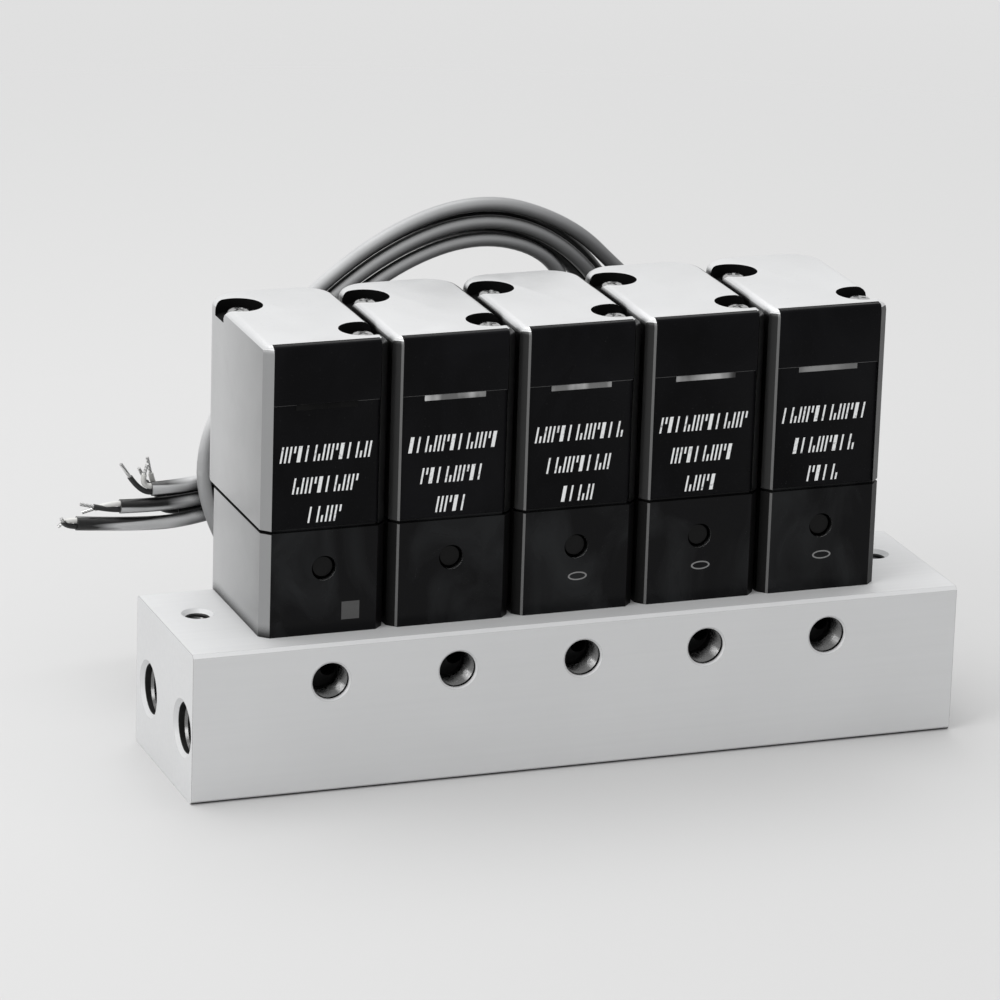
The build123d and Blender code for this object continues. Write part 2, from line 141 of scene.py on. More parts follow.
# ---- materials ----
class Nodes:
    """A material's node tree, with short calls for the nodes used here."""

    def __init__(self, name, metallic=0.0, roughness=0.5, coat=0.0):
        self.material = bpy.data.materials.new(name)
        self.material.use_nodes = True
        self.tree = self.material.node_tree
        self.shader = self.tree.nodes["Principled BSDF"]
        self.shader.inputs["Metallic"].default_value = metallic
        self.shader.inputs["Roughness"].default_value = roughness
        self.shader.inputs["Coat Weight"].default_value = coat
        self.shader.inputs["Coat Roughness"].default_value = 0.1
        self.place = self.add("ShaderNodeTexCoord").outputs["Object"]

    def add(self, kind, **settings):
        node = self.tree.nodes.new(kind)
        for key, value in settings.items():
            setattr(node, key, value)
        return node

    def join(self, source, target):
        self.tree.links.new(source, target)

    def noise(self, scale, detail=3.0, stretch=(1, 1, 1), distortion=0.0):
        mapping = self.add("ShaderNodeMapping")
        mapping.inputs["Scale"].default_value = stretch
        self.join(self.place, mapping.inputs["Vector"])
        noise = self.add("ShaderNodeTexNoise")
        noise.inputs["Scale"].default_value = scale
        noise.inputs["Detail"].default_value = detail
        noise.inputs["Distortion"].default_value = distortion
        self.join(mapping.outputs["Vector"], noise.inputs["Vector"])
        return noise.outputs["Fac"]

    def span(self, value, low, high, start=0.3, end=0.7):
        """Maps a value from start..end to low..high, clamped."""
        node = self.add("ShaderNodeMapRange")
        for key, number in (("From Min", start), ("From Max", end), ("To Min", low), ("To Max", high)):
            node.inputs[key].default_value = number
        self.join(value, node.inputs["Value"])
        return node.outputs["Result"]

    def math(self, operation, first, second):
        node = self.add("ShaderNodeMath", operation=operation, use_clamp=True)
        for socket, value in zip(node.inputs, (first, second)):
            if isinstance(value, (int, float)):
                socket.default_value = value
            else:
                self.join(value, socket)
        return node.outputs["Value"]

    def blend(self, factor, first, second):
        """Colour from first to second by factor."""
        node = self.add("ShaderNodeMix", data_type="RGBA")
        self.join(factor, node.inputs["Factor"])
        for socket, value in zip((node.inputs[6], node.inputs[7]), (first, second)):
            if isinstance(value, tuple):
                socket.default_value = (*value, 1.0)
            else:
                self.join(value, socket)
        return node.outputs[2]

    def bump(self, height, strength, distance):
        node = self.add("ShaderNodeBump")
        node.inputs["Strength"].default_value = strength
        node.inputs["Distance"].default_value = distance
        self.join(height, node.inputs["Height"])
        self.join(node.outputs["Normal"], self.shader.inputs["Normal"])

    def edges(self, radius):
        """1 along edges, 0 on flats: used for worn edges, the bar's darker edges and a painted edge glint.
        """
        bevel = self.add("ShaderNodeBevel", samples=6)
        bevel.inputs["Radius"].default_value = radius
        flat = self.add("ShaderNodeNewGeometry").outputs["Normal"]
        dot = self.add("ShaderNodeVectorMath", operation="DOT_PRODUCT")
        self.join(bevel.outputs["Normal"], dot.inputs[0])
        self.join(flat, dot.inputs[1])
        return self.span(dot.outputs["Value"], 1.0, 0.0, 0.80, 0.985)

    def crowded_shade(self, distance, low, high):
        """1 where other faces crowd in within the distance, 0 in the open: the mask for painted shade in
        crevices.
        """
        node = self.add("ShaderNodeAmbientOcclusion", samples=8)
        node.inputs["Distance"].default_value = distance
        return self.span(node.outputs["AO"], 1, 0, low, high)

    def normal(self, axis):
        parts = self.add("ShaderNodeSeparateXYZ")
        self.join(self.add("ShaderNodeNewGeometry").outputs["Normal"], parts.inputs["Vector"])
        return parts.outputs[axis]

    def facing(self, axis, operation, limit):
        """1 where the surface normal's component passes the limit."""
        return self.math(operation, self.normal(axis), limit)

    def along(self, axis):
        """The place along an axis, in metres."""
        parts = self.add("ShaderNodeSeparateXYZ")
        self.join(self.place, parts.inputs["Vector"])
        return parts.outputs[axis]

    def past(self, axis, limit):
        """1 beyond the limit along an axis."""
        return self.math("GREATER_THAN", self.along(axis), limit)

    def both(self, *masks):
        """1 where every mask is 1."""
        whole = masks[0]
        for mask in masks[1:]:
            whole = self.math("MULTIPLY", whole, mask)
        return whole

    def without(self, mask):
        """1 where the mask is 0."""
        return self.math("SUBTRACT", 1.0, mask)

    def mix_value(self, factor, first, second):
        node = self.add("ShaderNodeMix", data_type="FLOAT")
        sockets = (node.inputs["Factor"], node.inputs[2], node.inputs[3])
        for socket, value in zip(sockets, (factor, first, second)):
            if isinstance(value, (int, float)):
                socket.default_value = value
            else:
                self.join(value, socket)
        return node.outputs[0]

    def colour(self, source):
        self.join(source, self.shader.inputs["Base Color"])

    def rough(self, source):
        self.join(source, self.shader.inputs["Roughness"])


def shade(colour, factor):
    return tuple(min(1.0, channel * factor) for channel in colour)


def painted(name, colour, roughness):
    """Smooth enamel or moulding: cloudy colour and an orange-peel bump."""
    nodes = Nodes(name)
    cloud = nodes.noise(38, 4)
    base = nodes.blend(nodes.span(cloud, 0, 1), shade(colour, 0.94), shade(colour, 1.04))
    specks = nodes.span(nodes.noise(1500, 2), 0, 1, 0.66, 0.72)
    base = nodes.blend(specks, base, shade(colour, 0.80))
    nodes.colour(base)
    nodes.rough(nodes.span(nodes.noise(120, 5), roughness - 0.05, roughness + 0.08))
    nodes.bump(nodes.noise(2600, 3), 0.05, 0.05 * MM)
    return nodes.material


def metal(name, colour, roughness, grain_scale=1800, stretch=(1, 1, 1)):
    """Bright metal with fine tool marks along one direction."""
    nodes = Nodes(name, metallic=1.0)
    marks = nodes.noise(grain_scale, 4, stretch)
    cloud = nodes.noise(60, 4)
    nodes.colour(nodes.blend(nodes.span(cloud, 0, 1), shade(colour, 0.88), shade(colour, 1.06)))
    nodes.rough(nodes.span(marks, roughness - 0.06, roughness + 0.12))
    nodes.bump(marks, 0.12, 0.03 * MM)
    return nodes.material


def anodised_bar():
    """Clear anodised aluminium bar, milled: satin, with faint drawn lines along it, bores painted near
    black as shade, and a painted contact shadow along its front foot.
    """
    nodes = Nodes("anodised_bar", metallic=0.1)
    lines = nodes.noise(900, 3, (0.02, 1, 1))
    cloud = nodes.noise(24, 5)
    colour = (0.66, 0.665, 0.67)
    base = nodes.blend(nodes.span(cloud, 0, 1), shade(colour, 0.97), shade(colour, 1.02))
    base = nodes.blend(nodes.span(lines, 0, 0.2, 0.35, 0.75), base, shade(colour, 0.92))
    handling = nodes.span(nodes.noise(11, 6, distortion=0.6), 0, 0.4, 0.56, 0.70)
    base = nodes.blend(handling, base, shade(colour, 0.94))
    base = nodes.blend(nodes.edges(0.3 * MM), base, (0.30, 0.30, 0.30))
    # Painted shade: everything deeper than the skin inside the bar, the walls of its bores, is near black.
    bore_shade_skin = 0.9 * MM
    masks = []
    for axis, low, high in zip("XYZ", bar_low, bar_high):
        masks += [nodes.past(axis, low + bore_shade_skin), nodes.without(nodes.past(axis, high - bore_shade_skin))]
    base = nodes.blend(nodes.both(*masks), base, (0.006, 0.006, 0.006))
    # Painted contact shadow: the bar's front is darkened along its lowest 0.45 mm.
    foot = nodes.both(nodes.facing("Y", "LESS_THAN", -0.5), nodes.without(nodes.past("Z", 0.45 * MM)))
    base = nodes.blend(foot, base, (0.03, 0.03, 0.03))
    nodes.colour(base)
    nodes.rough(nodes.span(lines, 0.42, 0.54))
    nodes.bump(lines, 0.06, 0.04 * MM)
    return nodes.material


light_enamel = (0.62, 0.625, 0.63)
near_black = (0.003, 0.003, 0.003)
# The glint is a painted highlight: a lighter strip kept out of the painted shade of the bevels.
glint = 0.45 * MM            # strip of a bevel, next to the front, that the shading leaves out


def light_side(nodes):
    """Light satin enamel of the housings, with painted shade: darker on the upright sides towards the
    front; near black in the grooves between valves, on the right bevels and on the right sides of the first
    four valves; dark grey on the bevels past the first valve, with the outer part of their left bevels near
    black and a painted glint strip left next to the front.
    """
    cloud = nodes.span(nodes.noise(38, 4), 0, 1)
    side = nodes.blend(cloud, shade(light_enamel, 0.97), shade(light_enamel, 1.03))
    specks = nodes.span(nodes.noise(1500, 2), 0, 1, 0.67, 0.72)
    side = nodes.blend(specks, side, shade(light_enamel, 0.88))
    chips = nodes.both(nodes.edges(0.3 * MM), nodes.span(nodes.noise(420, 3), 0, 1, 0.45, 0.62))
    side = nodes.blend(chips, side, (0.82, 0.82, 0.82))
    upright = nodes.without(nodes.facing("Z", "GREATER_THAN", 0.4))
    # Painted shade: the upright sides are darker than the tops, most towards the front.
    front_shade = nodes.span(nodes.along("Y"), 0.5, 1.0, valve_front + 32 * MM, valve_front + 3 * MM)
    side = nodes.blend(nodes.both(upright, front_shade), side, shade(light_enamel, 0.44))
    # Painted shade: near black where a neighbouring valve crowds in, in the grooves between valves.
    side = nodes.blend(nodes.crowded_shade(4.5 * MM, 0.55, 0.85), side, near_black)
    bevel = nodes.facing("Y", "LESS_THAN", -0.3)
    from_left = nodes.math("SUBTRACT", nodes.along("X"), station_x(1) - valve_half)
    outer = nodes.math("LESS_THAN", nodes.math("MODULO", from_left, station_pitch), corner_chamfer - glint)
    shaded = nodes.both(bevel, outer, nodes.past("X", station_x(1)))
    right = nodes.facing("X", "GREATER_THAN", 0.3)
    in_row = nodes.without(nodes.past("X", station_x(5)))
    # Painted shade: the bevels past the first valve's middle are dark grey; below, the outer part of their
    # left bevels goes near black, leaving the painted glint.
    lower = nodes.both(bevel, upright, nodes.past("X", station_x(1)))
    side = nodes.blend(lower, side, (0.13, 0.13, 0.13))
    # Painted shade: near black on the outer part of the left bevels past the first valve, on the right
    # bevels, and on the right sides of the first four valves.
    painted_shades = (nodes.both(shaded, upright), nodes.both(bevel, upright, right), nodes.both(right, in_row))
    for dark in painted_shades:
        side = nodes.blend(dark, side, near_black)
    return side


def cover_enamel():
    """Light satin enamel of the covers."""
    nodes = Nodes("cover_enamel", metallic=0.25, coat=0.15)
    # The colour carries light_side's painted shade.
    nodes.colour(light_side(nodes))
    nodes.rough(nodes.span(nodes.noise(120, 5), 0.28, 0.38))
    nodes.bump(nodes.noise(2600, 3), 0.04, 0.05 * MM)
    return nodes.material


def valve_body_finish():
    """Light enamelled casting whose flat front is glossy black, with a black seal line round its top."""
    nodes = Nodes("valve_body_finish", metallic=0.15)
    front = nodes.facing("Y", "LESS_THAN", -0.9)
    smears = nodes.span(nodes.noise(70, 5, (1, 1, 0.6), 0.8), 0, 1, 0.45, 0.75)
    black = nodes.blend(smears, (0.002, 0.002, 0.0025), (0.016, 0.017, 0.018))
    # The light sides carry light_side's painted shade.
    base = nodes.blend(front, light_side(nodes), black)
    seam = nodes.both(nodes.past("Z", cover_low.z - seam_height - 0.2 * MM), nodes.without(front))
    nodes.colour(nodes.blend(seam, base, near_black))
    matt = nodes.span(nodes.noise(120, 5), 0.30, 0.42)
    nodes.rough(nodes.mix_value(front, matt, nodes.span(smears, 0.20, 0.34, 0, 1)))
    nodes.shader.inputs["Specular IOR Level"].default_value = 0.14
    nodes.bump(nodes.noise(2200, 3), 0.05, 0.05 * MM)
    return nodes.material


def black_gloss():
    """Glossy black front moulding with faint dust and finger smears, a painted grey glint along its edges
    and a painted highlight line along its step.
    """
    nodes = Nodes("black_gloss")
    nodes.shader.inputs["Specular IOR Level"].default_value = 0.06
    smears = nodes.noise(55, 5, (1, 1, 0.7), 0.7)
    dust = nodes.span(nodes.noise(2400, 2), 0, 0.5, 0.71, 0.76)
    base = nodes.blend(nodes.span(smears, 0, 1), (0.0015, 0.0015, 0.0018), (0.005, 0.005, 0.006))
    base = nodes.blend(dust, base, (0.03, 0.03, 0.03))
    # Painted highlight: a grey glint along the edges.
    base = nodes.blend(nodes.edges(0.22 * MM), base, (0.14, 0.14, 0.14))
    # Painted highlight: a grey line along the step, patchy with the smears.
    step = cover_high.z - panel_gap - panel_step_drop
    line = nodes.both(nodes.past("Z", step - 0.16 * MM), nodes.without(nodes.past("Z", step + 0.04 * MM)))
    base = nodes.blend(nodes.both(line, nodes.span(smears, 0.2, 1.0)), base, (0.16, 0.16, 0.16))
    nodes.colour(base)
    nodes.rough(nodes.span(smears, 0.20, 0.34))
    nodes.bump(nodes.noise(1900, 3), 0.04, 0.04 * MM)
    return nodes.material


def lamp_window(station, dark, light):
    """Smoky indicator window, lighter where it catches the light."""
    nodes = Nodes(f"lamp_window_{station}")
    nodes.shader.inputs["Specular IOR Level"].default_value = 0.06 if light < 0.1 else 0.4
    patches = nodes.span(nodes.noise(110, 3, (1, 1, 0.3)), 0, 1, 0.42, 0.58)
    nodes.colour(nodes.blend(patches, (dark, dark, dark), (light, light, light)))
    nodes.rough(nodes.span(nodes.noise(900, 2), 0.12, 0.28))
    nodes.bump(nodes.noise(1200, 2), 0.10, 0.03 * MM)
    return nodes.material


def rubber(name, colour, roughness, gloss=0.5):
    """Soft jacket or rubber with fine drag lines and handling grime."""
    nodes = Nodes(name)
    nodes.shader.inputs["Specular IOR Level"].default_value = gloss
    grime = nodes.noise(90, 5, distortion=0.5)
    nodes.colour(nodes.blend(nodes.span(grime, 0, 1), shade(colour, 0.80), shade(colour, 1.12)))
    nodes.rough(nodes.span(nodes.noise(160, 4), roughness - 0.10, roughness + 0.10))
    nodes.bump(nodes.noise(1600, 4), 0.10, 0.06 * MM)
    return nodes.material


def lead_sheath():
    """Grey plastic sheath with painted light and shade: lighter at the coil's left and darker to the right,
    painted shade on its undersides off the tails and where strands crowd together; streaked dark on the
    tails.
    """
    nodes = Nodes("lead_sheath")
    # Painted light and shade: the sheath runs from light grey at the left to dark grey at the right.
    across = nodes.span(nodes.along("X"), 0, 1, -0.055, 0.045)
    base = nodes.blend(across, (0.62, 0.625, 0.63), (0.08, 0.081, 0.083))
    base = nodes.blend(nodes.span(nodes.noise(60, 4), 0, 0.35), base, (0.26, 0.263, 0.266))
    streaks = nodes.span(nodes.noise(330, 2, (0.06, 1, 1)), 0, 1, 0.42, 0.50)
    tails = nodes.span(nodes.along("X"), 1, 0, -0.072, -0.066)
    base = nodes.blend(nodes.both(streaks, tails), base, (0.008, 0.008, 0.008))
    # Painted shade: the undersides of the leads, off the tails, are darker.
    underside_shade = nodes.both(nodes.span(nodes.normal("Z"), 0.85, 0, -0.5, 0.35), nodes.without(tails))
    base = nodes.blend(underside_shade, base, (0.03, 0.03, 0.03))
    # Painted shade: near black where strands crowd together.
    base = nodes.blend(nodes.crowded_shade(4 * MM, 0.55, 0.90), base, (0.006, 0.006, 0.006))
    nodes.colour(base)
    nodes.rough(nodes.span(nodes.noise(500, 3), 0.30, 0.44))
    nodes.bump(nodes.noise(1500, 3), 0.05, 0.04 * MM)
    return nodes.material


def print_white():
    """Screen-printed white ink, a little worn through."""
    nodes = Nodes("print_white")
    worn = nodes.span(nodes.noise(1300, 4), 0, 1, 0.58, 0.74)
    nodes.colour(nodes.blend(worn, (0.86, 0.87, 0.87), (0.30, 0.30, 0.31)))
    nodes.rough(nodes.span(nodes.noise(700, 3), 0.42, 0.60))
    nodes.bump(worn, 0.15, 0.01 * MM)
    return nodes.material


def tinned_strands():
    """Twisted tinned strands: bright metal with a steep spiral lay."""
    nodes = Nodes("tinned_strands", metallic=1.0)
    wave = nodes.add("ShaderNodeTexWave", bands_direction="DIAGONAL")
    wave.inputs["Scale"].default_value = 900
    wave.inputs["Distortion"].default_value = 1.5
    nodes.join(nodes.place, wave.inputs["Vector"])
    nodes.colour(nodes.blend(wave.outputs["Fac"], (0.42, 0.42, 0.42), (0.85, 0.85, 0.84)))
    nodes.rough(nodes.span(nodes.noise(700, 3), 0.26, 0.42))
    nodes.bump(wave.outputs["Fac"], 0.5, 0.08 * MM)
    return nodes.material


bar_finish = anodised_bar()
cover_finish = cover_enamel()
body_finish = valve_body_finish()
front_finish = black_gloss()
# How dark and how light each station's indicator window looks.
window_greys = {1: (0.002, 0.006), 2: (0.12, 0.75), 3: (0.15, 0.60), 4: (0.02, 0.45), 5: (0.14, 0.24)}
pocket_black = rubber("pocket_black", (0.002, 0.002, 0.002), 0.7, gloss=0.1)
button_black = rubber("button_black", (0.003, 0.003, 0.003), 0.35, gloss=0.15)
dark_grey_patch = painted("dark_grey_patch", (0.06, 0.06, 0.06), 0.45)
grey_oval = painted("grey_oval", (0.20, 0.20, 0.20), 0.40)
# Painted shade: the thread ridges in the bar's bores are dark grey.
shaded_thread_metal = metal("shaded_thread_metal", (0.20, 0.20, 0.20), 0.22)
ink = print_white()
bright_steel = metal("bright_steel", (0.55, 0.55, 0.55), 0.14)
turned_brass = metal("turned_brass", (0.66, 0.64, 0.58), 0.26, 2400, (1, 0.05, 1))
magnet_steel = metal("magnet_steel", (0.60, 0.60, 0.61), 0.30)
yoke_plating = metal("yoke_plating", (0.58, 0.59, 0.60), 0.34)
winding = painted("winding", (0.30, 0.10, 0.04), 0.40)
seal_rubber = rubber("seal_rubber", (0.018, 0.018, 0.018), 0.62)
lead_jacket = lead_sheath()
black_core = rubber("black_core", (0.02, 0.02, 0.02), 0.45)
white_core = rubber("white_core", (0.62, 0.62, 0.60), 0.45)
tinned = tinned_strands()

# ---- leads: the routes of part.py in metres, with the coil's upper half and the tails of leads 4
# and 5 changed to follow the photograph ----
lead_radius = 0.0017
grommet_tip_y = 0.0304
grommet_z = 0.0682
lead_grip = 0.003
ring_centre = (-0.0097, 0.057)
ring_half_width = 0.0605
ring_half_height = 0.0567
ring_narrowing = 0.21        # shares of its half width and height by which the upper half shrinks
ring_rise = 0.03             # and grows
ring_lean = 0.0115
middle_inset = 0.0063
ring_end_angle = 270
ring_step = 30

# Each lead's strand in the ring: inset from the ring's outer edge, y, and its first angle in degrees.
lead_strands = {
    1: (0.00415, 0.0596, 30),
    2: (0.00845, 0.0596, 30),
    3: (0.0063, 0.0556, 30),
    4: (0.0106, 0.0556, 60),
    5: (0.002, 0.0556, 60),
}
lead_starts = {
    1: [(-0.06, 0.0404, 0.0682), (-0.054, 0.0535, 0.0669), (-0.0435, 0.0596, 0.0625),
        (-0.025, 0.0596, 0.0498), (-0.005, 0.0596, 0.038), (0.0115, 0.0596, 0.0305),
        (0.028, 0.0596, 0.0288), (0.042, 0.0596, 0.0365), (0.0488, 0.0596, 0.051),
        (0.0468, 0.0596, 0.0665)],
    2: [(-0.03, 0.0404, 0.0682), (-0.024, 0.0535, 0.0672), (-0.013, 0.0596, 0.063),
        (0.0005, 0.0596, 0.0515), (0.0125, 0.0596, 0.04), (0.0265, 0.0596, 0.0338),
        (0.0395, 0.0596, 0.0405), (0.0446, 0.0596, 0.054), (0.0422, 0.0596, 0.0685)],
    3: [(0.0, 0.0384, 0.0682), (0.002, 0.0504, 0.0632), (0.0052, 0.0556, 0.0544),
        (0.0115, 0.0556, 0.0432), (0.0225, 0.0556, 0.0355), (0.0358, 0.0556, 0.0375),
        (0.045, 0.0556, 0.048), (0.0454, 0.0556, 0.063)],
    4: [(0.03, 0.0384, 0.0682), (0.0284, 0.0504, 0.0734), (0.0256, 0.0556, 0.0824)],
    5: [(0.06, 0.0384, 0.0682), (0.0567, 0.0504, 0.0726), (0.051, 0.0556, 0.0802),
        (0.0375, 0.0556, 0.0925)],
}
# The bundle's way out of the ring: x, z, direction of its outer side in degrees, and how far it
# has moved back from the ring.
lead_exit = [
    (0.0174, 0.0134, -62, 0.0043),
    (0.0295, 0.0242, -28, 0.0086),
    (0.0338, 0.0388, 5, 0.0086),
    (0.0293, 0.053, 40, 0.0086),
    (0.0165, 0.0616, 73, 0.0086),
    (-0.0005, 0.0624, 97, 0.0086),
    (-0.0235, 0.0554, 109, 0.0086),
    (-0.046, 0.0464, 104, 0.0086),
]
# The last points of each lead, up to its cut end.
lead_ends = {
    1: [(-0.062, 0.043), (-0.071, 0.0422)],
    2: [(-0.06, 0.039), (-0.068, 0.0384)],
    3: [(-0.066, 0.0403), (-0.0832, 0.0412)],
    4: [(-0.066, 0.0363), (-0.082, 0.0366), (-0.0938, 0.0379)],
    5: [(-0.062, 0.0450), (-0.0756, 0.0449)],
}
core_radius = 0.00065
strand_radius = 0.00042
core_spread = 0.00075
core_straight = 0.0025
bared_from = 0.55            # share of the way from a core's knee to its tip
strand_overlap = 0.2         # share of that stretch on which the strands run inside the insulation
# The tips of each lead's two stripped cores.
core_tips = {
    1: [(-0.078, 0.0665, 0.0495), (-0.0755, 0.068, 0.0515)],
    2: [(-0.0744, 0.0685, 0.0402), (-0.0752, 0.0708, 0.0444)],
    3: [(-0.0929, 0.064, 0.0426), (-0.092, 0.0655, 0.04)],
    4: [(-0.0976, 0.0636, 0.0396), (-0.098, 0.0648, 0.0372)],
    5: [(-0.0833, 0.0634, 0.0519), (-0.077, 0.063, 0.0515)],
}


def ring_point(angle, inset, y):
    """A point of the coil, whose upper half is narrower and leans a little to the right."""
    turn = math.radians(angle)
    upper = max(0.0, math.sin(turn))
    x = (ring_half_width - inset) * math.cos(turn) * (1 - ring_narrowing * upper) + ring_lean * upper
    z = (ring_half_height - inset) * math.sin(turn) * (1 + ring_rise * upper)
    return ring_centre[0] + x, y, ring_centre[1] + z


def lead_route(lead):
    """The whole route: from the grommet to the ring, round it, and out to the cut end."""
    inset, y, first_angle = lead_strands[lead]
    outward = middle_inset - inset
    points = [(station_x(lead), grommet_tip_y - lead_grip, grommet_z)] + lead_starts[lead]
    points += [ring_point(a, inset, y) for a in range(first_angle, ring_end_angle + 1, ring_step)]
    for x, z, side, back in lead_exit:
        turn = math.radians(side)
        points.append((x + outward * math.cos(turn), y + back, z + outward * math.sin(turn)))
    return points + [(x, y + lead_exit[-1][3], z) for x, z in lead_ends[lead]]


def spline_curve(name, points, radius):
    """An open smooth curve of round section; between its ends it bends inside its control points."""
    curve = bpy.data.curves.new(name, "CURVE")
    curve.dimensions = "3D"
    curve.bevel_depth = radius
    curve.bevel_resolution = 5
    curve.use_fill_caps = True
    spline = curve.splines.new("NURBS")
    spline.points.add(len(points) - 1)
    for point, place in zip(spline.points, points):
        point.co = (*place, 1.0)
    spline.order_u = 3
    spline.use_endpoint_u = True
    spline.resolution_u = 10
    return curve


def make_cores(lead):
    """The two stripped cores of a lead: an insulated stretch each, then twisted bare strands."""
    before, end = (Vector(point) for point in lead_route(lead)[-2:])
    along = (end - before).normalized()
    across = along.cross(Vector((0, 1, 0)))
    made = []
    for side, tip, jacket in zip((1, -1), core_tips[lead], (black_core, white_core)):
        root = end + across * side * core_spread
        knee = root + along * core_straight
        middle = knee.lerp(Vector(tip), bared_from)
        name = f"core_{lead}_{'a' if side > 0 else 'b'}"
        bare = [middle.lerp(knee, strand_overlap), Vector(tip)]
        sleeve = spline_curve(name, [root, knee, middle], core_radius)
        strands = spline_curve(f"{name}_strands", bare, strand_radius)
        made.append(root_piece(name, sleeve, jacket))
        made.append(root_piece(f"{name}_strands", strands, tinned))
    for piece in made:
        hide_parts("lead_cores")
    return made


def make_leads():
    for lead in stations:
        route = lead_route(lead)
        name = f"lead_{lead}_jacket"
        piece = root_piece(name, spline_curve(name, route, lead_radius), lead_jacket)
        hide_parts(f"lead_{lead}", "lead_ring")
        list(make_cores(lead))


make_leads()


# ---- finishes of the CAD nodes ----
def dress(node, material):
    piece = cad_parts[node]
    piece.data.materials.clear()
    piece.data.materials.append(material)


def dress_nodes():
    finishes = {
        "valve_body": body_finish,
        "coil": winding,
        "yoke": yoke_plating,
        "plunger": magnet_steel,
        "poppet": turned_brass,
        "return_spring": bright_steel,
        "override_button": button_black,
        "grommet": seal_rubber,
    }
    for station in stations:
        for part, material in finishes.items():
            dress(f"{part}_{station}", material)
    dress("manifold", bar_finish)
    dress("gaskets", seal_rubber)


dress_nodes()


# ---- covers, front panels and their print ----
def mesh_data(mesh, name):
    """Turns a finished bmesh into mesh data with its normals outward."""
    bmesh.ops.recalc_face_normals(mesh, faces=mesh.faces)
    data = bpy.data.meshes.new(name)
    mesh.to_mesh(data)
    mesh.free()
    return data


def shape_mesh(name, rings):
    """A closed mesh through rings of as many points each, lowest ring first."""
    mesh = bmesh.new()
    made = [[mesh.verts.new(point) for point in ring] for ring in rings]
    for lower, upper in zip(made, made[1:]):
        for i, vertex in enumerate(lower):
            j = (i + 1) % len(lower)
            mesh.faces.new((vertex, lower[j], upper[j], upper[i]))
    mesh.faces.new(list(reversed(made[0])))
    mesh.faces.new(made[-1])
    return mesh_data(mesh, name)


def cover_plan(inset):
    """Plan of a cover: bevelled front corners either side of the panel's place, rounded rear corners."""
    side = valve_half - inset
    inner = valve_half - corner_chamfer
    back_of_panel = valve_front + corner_chamfer
    rear = valve_front + cover_depth
    corner = cover_corner - inset
    points = [(-side, back_of_panel), (-inner, valve_front + inset), (-inner, back_of_panel),
              (inner, back_of_panel), (inner, valve_front + inset), (side, back_of_panel)]
    for sign, angles in ((1, range(0, 91, 10)), (-1, range(90, 181, 10))):
        for angle in angles:
            turn = math.radians(angle)
            points.append((sign * (valve_half - cover_corner) + corner * math.cos(turn),
                           rear - cover_corner + corner * math.sin(turn)))
    return points


def disc(x, y, z, radius, sides):
    """A level ring of points."""
    turns = [2 * math.pi * i / sides for i in range(sides)]
    return [(x + radius * math.cos(t), y + radius * math.sin(t), z) for t in turns]


def applied(piece, *modifiers):
    """The piece's mesh with its modifiers applied."""
    for kind, settings in modifiers:
        modifier = piece.modifiers.new(kind, kind)
        for key, value in settings.items():
            setattr(modifier, key, value)
    view = bpy.context.evaluated_depsgraph_get()
    mesh = bpy.data.meshes.new_from_object(piece.evaluated_get(view))
    piece.modifiers.clear()
    piece.data = mesh
    return piece


def take_away(piece, cutter):
    """Cuts the cutter's shape out of the piece and removes the cutter."""
    applied(piece, ("BOOLEAN", {"object": cutter, "operation": "DIFFERENCE", "solver": "EXACT"}))
    bpy.data.objects.remove(cutter)


def cut_rings(piece, rings):
    """Takes the closed shape through the rings away from the piece."""
    cutter = link("cutter", shape_mesh("cutter", rings))
    take_away(piece, cutter)


def soften(piece, degrees=35):
    """Smooth shading with edges sharper than the angle kept."""
    piece.data.shade_smooth()
    piece.data.set_sharp_from_angle(angle=math.radians(degrees))


def round_edges(piece, width):
    applied(piece, ("BEVEL", {"width": width, "segments": 2, "limit_method": "ANGLE"}))
    soften(piece, 50)


def make_hollow(middle):
    """The room inside a cover, with its two screw bosses left standing."""
    side = valve_half - cover_wall
    front, rear = valve_front + corner_chamfer + cover_wall, cover_high.y - cover_wall
    corners = [(-side, front), (side, front), (side, rear), (-side, rear)]
    foot, roof = cover_low.z - cover_wall, cover_high.z - cover_roof
    rings = [[(middle + x, y, z) for x, y in corners] for z in (foot, roof)]
    hollow = link("hollow", shape_mesh("hollow", rings))
    for x, y in screw_places:
        cut_rings(hollow, [disc(middle + x, y, z, boss_radius, round_sides)
                           for z in (foot - cover_wall, roof + cover_wall)])
    return hollow


